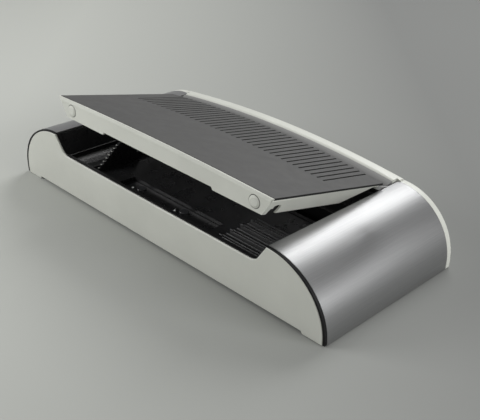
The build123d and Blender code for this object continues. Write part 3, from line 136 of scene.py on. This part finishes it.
# ---------------------------------------------------------------- node helpers
class Graph:
    """A material's node tree, with the few kinds of node that the finishes share."""

    def __init__(self, name):
        self.material = bpy.data.materials.new(name)
        self.material.use_nodes = True
        self.tree = self.material.node_tree
        self.shader = self.tree.nodes["Principled BSDF"]
        coordinates = self.node("ShaderNodeTexCoord")
        self.place = coordinates.outputs["Object"]
        self.facing = coordinates.outputs["Normal"]

    def node(self, kind, **values):
        """New node of a kind, with its own settings."""
        made = self.tree.nodes.new(kind)
        for key, value in values.items():
            setattr(made, key, value)
        return made

    def link(self, output, socket):
        self.tree.links.new(output, socket)

    def stretched(self, scale):
        """Object coordinates with a scale of their own on each axis."""
        mapping = self.node("ShaderNodeMapping")
        mapping.inputs["Scale"].default_value = scale
        self.link(self.place, mapping.inputs["Vector"])
        return mapping.outputs["Vector"]

    def noise(self, scale, detail=3.0, roughness=0.55, stretch=None):
        """Level of a noise that lies still on the piece."""
        made = self.node("ShaderNodeTexNoise")
        made.inputs["Scale"].default_value = scale
        made.inputs["Detail"].default_value = detail
        made.inputs["Roughness"].default_value = roughness
        self.link(self.stretched(stretch) if stretch else self.place, made.inputs["Vector"])
        return made.outputs["Fac"]

    def ramp(self, fac, low, high, start=0.3, end=0.7):
        """Colour or grey level that goes from low to high with fac."""
        made = self.node("ShaderNodeValToRGB")
        made.color_ramp.elements[0].position = start
        made.color_ramp.elements[1].position = end
        made.color_ramp.elements[0].color = self.rgba(low)
        made.color_ramp.elements[1].color = self.rgba(high)
        self.link(fac, made.inputs["Fac"])
        return made.outputs["Color"]

    def along(self, vector, axis, low, high):
        """Goes from 0 to 1 while one component of a vector goes from low to high."""
        split = self.node("ShaderNodeSeparateXYZ")
        self.link(vector, split.inputs[0])
        made = self.node("ShaderNodeMapRange")
        made.inputs["From Min"].default_value = low
        made.inputs["From Max"].default_value = high
        self.link(split.outputs[axis], made.inputs["Value"])
        return made.outputs["Result"]

    def blend(self, fac, low, high):
        """Mix of two colours, each a value or another node's output."""
        made = self.node("ShaderNodeMix", data_type="RGBA")
        self.link(fac, made.inputs[0])
        for socket, colour in ((made.inputs[6], low), (made.inputs[7], high)):
            if isinstance(colour, tuple):
                socket.default_value = self.rgba(colour)
            else:
                self.link(colour, socket)
        return made.outputs[2]

    def cloudy(self, colour):
        """Colour with the faint cloudiness of a moulding."""
        return self.ramp(self.noise(CLOUD_SCALE), shade(colour, 1 - CLOUDINESS),
                         shade(colour, 1 + CLOUDINESS))

    def moulded_surface(self, roughness, grain, gloss):
        """Roughness, spark-eroded grain and gloss of a moulding."""
        self.link(self.ramp(self.noise(GLOSS_SCALE), roughness - GLOSS_SPREAD, roughness + GLOSS_SPREAD),
                  self.shader.inputs["Roughness"])
        self.bump(self.noise(GRAIN_SCALE, 2.0), grain, GRAIN_DEPTH)
        self.set(Specular_IOR_Level=gloss)

    @staticmethod
    def rgba(value):
        """Colour with its alpha, from a colour or a grey level."""
        return (*value, 1.0) if hasattr(value, "__len__") else (value, value, value, 1.0)

    def bump(self, height, strength, distance):
        """Bends the shading normal by a height."""
        made = self.node("ShaderNodeBump")
        made.inputs["Strength"].default_value = strength
        made.inputs["Distance"].default_value = distance
        self.link(height, made.inputs["Height"])
        self.link(made.outputs["Normal"], self.shader.inputs["Normal"])

    def set(self, **values):
        """Sets the shader's own sockets, with their names' spaces as underscores."""
        for key, value in values.items():
            socket = self.shader.inputs[key.replace("_", " ")]
            socket.default_value = self.rgba(value) if hasattr(value, "__len__") else value


def shade(colour, factor):
    """Lighter or darker copy of a colour."""
    return tuple(c * factor for c in colour)


# ---------------------------------------------------------------- finishes
def moulded(name, colour, roughness=0.5, grain=0.35, gloss=0.5):
    """Moulded plastic with a fine spark-eroded grain and faint cloudiness."""
    g = Graph(name)
    g.link(g.cloudy(colour), g.shader.inputs["Base Color"])
    g.moulded_surface(roughness, grain, gloss)
    return g.material


def lid_plastic(name):
    """Dark moulding, with painted shade down the walls of its slots and painted light up the hollow of the
    hinge cover.
    """
    g = Graph(name)
    # painted shade: slot walls, which face sideways, turn near black
    shaded_slots = g.blend(g.along(g.facing, "Z", *SHADED_SLOT_FACING), SLOT_WALL_PAINTED_SHADE, g.cloudy(CHARCOAL))
    # painted light: the hinge cover lightens towards its rear
    cove_painted_light = g.along(g.place, "Y", *LIT_COVE_DEPTHS)
    g.link(g.blend(cove_painted_light, shaded_slots, PAINTED_COVE_LIGHT), g.shader.inputs["Base Color"])
    g.moulded_surface(roughness=0.55, grain=0.25, gloss=0.25)
    return g.material


def polished(name, colour, roughness, gloss=0.5):
    """Polished moulding with faint dust and hairline scuffs in its gloss."""
    g = Graph(name)
    g.link(g.ramp(g.noise(30.0), colour, shade(colour, 1.6)), g.shader.inputs["Base Color"])
    g.link(g.ramp(g.noise(45.0, 6.0), roughness, roughness + 0.10), g.shader.inputs["Roughness"])
    g.bump(g.noise(18.0, 1.0), 0.05, 0.0004)
    g.set(Specular_IOR_Level=gloss)
    return g.material


def brushed_sheet(name, colour):
    """Lacquered sheet, finely brushed from front to rear."""
    g = Graph(name)
    streaks = g.noise(1.0, 4.0, 0.6, stretch=(1400.0, 14.0, 1400.0))
    fine = g.noise(1.0, 2.0, 0.5, stretch=(5200.0, 90.0, 5200.0))
    g.link(g.ramp(streaks, shade(colour, 0.94), shade(colour, 1.06)), g.shader.inputs["Base Color"])
    g.link(g.ramp(fine, 0.36, 0.44), g.shader.inputs["Roughness"])
    g.bump(fine, 0.06, 0.00003)
    g.set(Metallic=0.85, Anisotropic=0.3)
    return g.material


def machined(name, colour, roughness):
    """Bare metal with fine tool marks."""
    g = Graph(name)
    g.link(g.ramp(g.noise(220.0), shade(colour, 0.85), colour), g.shader.inputs["Base Color"])
    g.link(g.ramp(g.noise(90.0, 5.0), roughness - 0.08, roughness + 0.12), g.shader.inputs["Roughness"])
    g.bump(g.noise(1200.0, 3.0), 0.15, 0.00004)
    g.set(Metallic=1.0)
    return g.material


def clear_lens(name):
    """Clear moulding with a coat of its own."""
    g = Graph(name)
    g.link(g.ramp(g.noise(500.0), *LENS_CLEAR), g.shader.inputs["Base Color"])
    g.set(Roughness=0.1, Coat_Weight=0.5)
    return g.material


FINISHES = {
    "light_plastic": moulded("light_plastic", OFF_WHITE, 0.42),
    "dark_plastic": lid_plastic("dark_plastic"),
    "gloss_black": polished("gloss_black", JET, 0.24, gloss=0.40),
    "black_plastic": moulded("black_plastic", BLACK, gloss=0.15),
    "brushed_silver": brushed_sheet("brushed_silver", GUNMETAL),
    "steel": machined("steel", ZINC, 0.38),
    "aluminium": machined("aluminium", ALUMINIUM, 0.42),
    "rubber": moulded("rubber", RUBBER_BLACK, 0.8, grain=0.6),
    "heater_foil": polished("heater_foil", FOIL_AMBER, 0.25),
    "insulation": moulded("insulation", MINERAL_WOOL, 0.7),
    "lens": clear_lens("lens"),
    "button_plastic": polished("button_plastic", BUTTON_BLACK, 0.18),
    "board_green": polished("board_green", BOARD_GREEN, 0.3),
    "component_plastic": moulded("component_plastic", COMPONENT_BLACK),
    "brass": machined("brass", BRASS, 0.25),
    "lead_insulation": moulded("lead_insulation", LEAD_RED),
    "washer_plastic": moulded("washer_plastic", NATURAL_NYLON),
}


def dress():
    """Gives each piece of the frame the finish of its slot."""
    slot_of = {subpart["node"]: subpart["material_slot"] for subpart in frame["record"]["subparts"]}
    for node, piece in frame["nodes"].items():
        piece.data.materials.clear()
        piece.data.materials.append(FINISHES[slot_of[node]])


# ---------------------------------------------------------------- small pieces
def add_piece(name, make, slot, body, matrix):
    """Piece from a maker that fills a mesh, set in place and tied to its body and finish."""
    mesh = bpy.data.meshes.new(name)
    made = bmesh.new()
    make(made)
    bmesh.ops.recalc_face_normals(made, faces=made.faces)
    for face in made.faces:
        face.smooth = True
    for edge in made.edges:
        edge.smooth = edge.calc_face_angle(0.0) < SMOOTH_BELOW
    made.to_mesh(mesh)
    made.free()
    piece = bpy.data.objects.new(name, mesh)
    piece.matrix_world = matrix
    bpy.context.scene.collection.objects.link(piece)
    mesh.materials.append(FINISHES[slot])
    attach(piece, body)


def bridge(made, low, high):
    """Closed band of faces between two rings of corners."""
    for i in range(len(low)):
        j = (i + 1) % len(low)
        made.faces.new((low[i], low[j], high[j], high[i]))


def turned(profile, closed=False):
    """Maker of a solid turned about Z from (radius, height) pairs, and a ring where it is closed."""
    def make(made):
        turns = [2 * pi * i / ROUND_SEGMENTS for i in range(ROUND_SEGMENTS)]
        rings = [[made.verts.new((r * cos(t), r * sin(t), z)) for t in turns] for r, z in profile]
        for low, high in zip(rings, rings[1:]):
            bridge(made, low, high)
        if closed:
            bridge(made, rings[-1], rings[0])
        else:
            made.faces.new(rings[0])
            made.faces.new(rings[-1])
    return make


def tick(width, depth, height, corner):
    """Maker of a thin mark with cut corners and a bevelled upper edge."""
    def make(made):
        rings = []
        for inset, z in ((0, 0), (0, height / 2), (height / 2, height)):
            w, d = width / 2 - inset, depth / 2 - inset
            plan = ((w - corner, -d), (w, corner - d), (w, d - corner), (w - corner, d),
                    (corner - w, d), (-w, d - corner), (-w, corner - d), (corner - w, -d))
            rings.append([made.verts.new((x, y, z)) for x, y in plan])
        made.faces.new(rings[0])
        made.faces.new(rings[-1])
        for low, high in zip(rings, rings[1:]):
            bridge(made, low, high)
    return make


def gauge_ticks():
    """White mark on each tread of the measuring gauge."""
    low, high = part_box("measuring_gauge")
    middle = (low[0] + high[0]) / 2
    for step in range(GAUGE_STEPS):
        depth = low[1] + GAUGE_RUN * step + TREAD_MIDDLE
        height = low[2] + GAUGE_FIRST + GAUGE_RISE * step
        add_piece(f"gauge_tick_{step + 1}", tick(TICK_WIDTH, TICK_DEPTH, TICK_HEIGHT, TICK_CORNER),
                  "light_plastic", "body", Matrix.Translation((middle, depth, height)))


def cap_shade_rings():
    """Dark ring in the recess round each lip cap, put there as painted shade."""
    low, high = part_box("lip_caps")
    profile = ((SHADE_RING_INNER, 0.0), (SHADE_RING_OUTER, 0.0), (SHADE_RING_OUTER, SHADE_RING_THICK), (SHADE_RING_INNER, SHADE_RING_THICK))
    for side, name in ((-1, "cap_shade_ring_left"), (1, "cap_shade_ring_right")):
        place = (side * (high[0] - CAP_RADIUS), high[1] - SHADE_RING_OVERLAP, (low[2] + high[2]) / 2)
        add_piece(name, turned(profile, closed=True), "rubber", "lid",
                  Matrix.Translation(place) @ Matrix.Rotation(pi / 2, 4, "X"))


def rear_screws():
    """Pan-head screws in the rear panel, with their heads to the rear."""
    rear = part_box("rear_panel")[1][1]
    for number, (x, z) in enumerate(REAR_SCREWS):
        add_piece(f"rear_screw_{number + 1}", turned(SCREW_HEAD), "steel", "body",
                  Matrix.Translation((x, rear, z)) @ Matrix.Rotation(-pi / 2, 4, "X"))


def ease_edges():
    """Small bevel on the long edges of the mouldings in the well."""
    for node, width in EASED_EDGES.items():
        bevel = frame["nodes"][node].modifiers.new("eased_edges", "BEVEL")
        bevel.width = width
        bevel.segments = EASE_SEGMENTS
        bevel.limit_method = "ANGLE"
        bevel.angle_limit = EASE_ABOVE


# ---------------------------------------------------------------- studio
def floor():
    """Pale floor that carries on past the machine in every direction, with painted light falling off to
    painted shade across it.
    """
    mesh = bpy.data.meshes.new("studio_floor")
    made = bmesh.new()
    bmesh.ops.create_grid(made, x_segments=4, y_segments=4, size=FLOOR_HALF)
    made.to_mesh(mesh)
    made.free()
    piece = bpy.data.objects.new("studio_floor", mesh)
    bpy.context.scene.collection.objects.link(piece)
    g = Graph("studio_floor")
    spread = g.node("ShaderNodeTexGradient", gradient_type="LINEAR")
    mapping = g.node("ShaderNodeMapping")
    mapping.inputs["Rotation"].default_value = (0, 0, -FLOOR_TURN)
    mapping.inputs["Scale"].default_value = (FLOOR_SPREAD,) * 3
    mapping.inputs["Location"].default_value = (FLOOR_START, 0, 0)
    g.link(g.place, mapping.inputs["Vector"])
    g.link(mapping.outputs["Vector"], spread.inputs["Vector"])
    # painted light and shade: the floor's colour is graded from lit to shaded
    g.link(g.ramp(spread.outputs["Fac"], FLOOR_PAINTED_LIT, FLOOR_PAINTED_SHADE, 0.0, 1.0), g.shader.inputs["Base Color"])
    g.set(Roughness=0.9)
    mesh.materials.append(g.material)


def softbox(name, place, target, width, height, power):
    """Rectangular lamp that looks at a target."""
    light = bpy.data.lights.new(name, "AREA")
    light.shape = "RECTANGLE"
    light.size = width
    light.size_y = height
    light.energy = power
    lamp = bpy.data.objects.new(name, light)
    lamp.location = place
    lamp.rotation_euler = (Vector(target) - Vector(place)).to_track_quat("-Z", "Y").to_euler()
    bpy.context.scene.collection.objects.link(lamp)


def sky():
    """Soft sky: bright at the horizon and overhead, and dimmer between."""
    world = bpy.data.worlds.new("studio")
    world.use_nodes = True
    tree = world.node_tree
    direction = tree.nodes.new("ShaderNodeTexCoord")
    split = tree.nodes.new("ShaderNodeSeparateXYZ")
    height = tree.nodes.new("ShaderNodeMapRange")
    height.inputs["From Min"].default_value = -1.0
    ramp = tree.nodes.new("ShaderNodeValToRGB")
    stops = ramp.color_ramp.elements
    while len(stops) < len(SKY):
        stops.new(0.5)
    for stop, (position, level) in zip(stops, SKY):
        stop.position = position
        stop.color = (level, level, level * SKY_BLUE, 1.0)
    tree.links.new(direction.outputs["Generated"], split.inputs[0])
    tree.links.new(split.outputs["Z"], height.inputs["Value"])
    tree.links.new(height.outputs["Result"], ramp.inputs["Fac"])
    tree.links.new(ramp.outputs["Color"], tree.nodes["Background"].inputs["Color"])
    bpy.context.scene.world = world


def studio():
    """Floor, sky and lamps, with plain colours."""
    floor()
    sky()
    for name, lamp in LAMPS.items():
        softbox(name, *lamp)
    bpy.context.scene.view_settings.view_transform = "Standard"


def camera():
    """Camera at the photograph's place and angle."""
    data = bpy.data.cameras.new("photograph")
    data.sensor_width = SENSOR_WIDTH
    data.sensor_fit = "HORIZONTAL"
    data.lens = LENS
    data.clip_start = 0.01
    piece = bpy.data.objects.new("photograph", data)
    ahead = Vector((-sin(CAMERA_YAW) * cos(CAMERA_PITCH), cos(CAMERA_YAW) * cos(CAMERA_PITCH),
                    -sin(CAMERA_PITCH)))
    level = Vector((cos(CAMERA_YAW), sin(CAMERA_YAW), 0))
    upright = level.cross(ahead)
    right = cos(CAMERA_ROLL) * level + sin(CAMERA_ROLL) * upright
    up = cos(CAMERA_ROLL) * upright - sin(CAMERA_ROLL) * level
    turn = Matrix((right, up, -ahead)).transposed().to_4x4()
    piece.matrix_world = Matrix.Translation(CAMERA_PLACE) @ turn
    bpy.context.scene.collection.objects.link(piece)
    bpy.context.scene.camera = piece


dress()
gauge_ticks()
cap_shade_rings()
rear_screws()
ease_edges()
studio()
camera()
